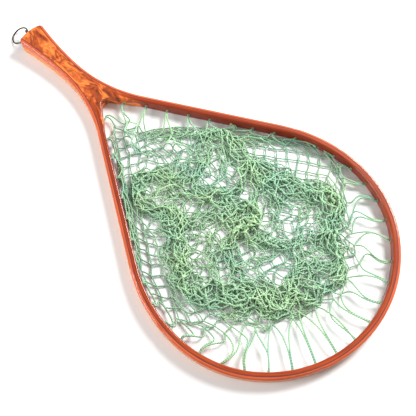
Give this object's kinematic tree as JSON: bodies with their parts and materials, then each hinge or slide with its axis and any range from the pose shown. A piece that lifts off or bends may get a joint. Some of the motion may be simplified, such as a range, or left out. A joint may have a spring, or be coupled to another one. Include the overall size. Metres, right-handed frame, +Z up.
{
  "type": "landing net",
  "caption": "Hand landing net: teardrop hoop of bent, laminated wood with a shaped handle, knotted twine netting and a ring on a screw eye at the butt.",
  "frame": {"origin": "bottom centre of the whole object's box, on the flat surface that it lies on", "axes": "+X along the length from the ring and butt to the hoop tip, +Y across the hoop, +Z up out of the hoop"},
  "size_m": [0.5232, 0.27, 0.024],
  "materials": {
    "outer_wood": "clear gloss lacquer over red-orange stained wood",
    "dark_wood": "clear gloss lacquer over dark wood",
    "inner_wood": "clear gloss lacquer over red-orange stained wood",
    "burl_wood": "clear gloss lacquer over figured burl",
    "aged_brass": "darkened antique brass",
    "green_twine": "twisted pale green twine",
    "lacing_twine": "fine red-brown cord"
  },
  "bodies": {
    "net": {"handle_core": "burl_wood", "outer_strip": "outer_wood", "dark_strip": "dark_wood", "inner_strip": "inner_wood", "screw_eye": "aged_brass", "lacing_cord": "lacing_twine", "net_bunch": "green_twine", "head_meshes": "green_twine"},
    "ring": {"ring": "aged_brass"}
  },
  "joints": [
    {"name": "ring_swing", "type": "hinge", "parent": "net", "child": "ring", "pos_m": [-0.24364, 0, 0.01], "axis": [0, 1, 0], "range_deg": [-60, 90]}
  ]
}
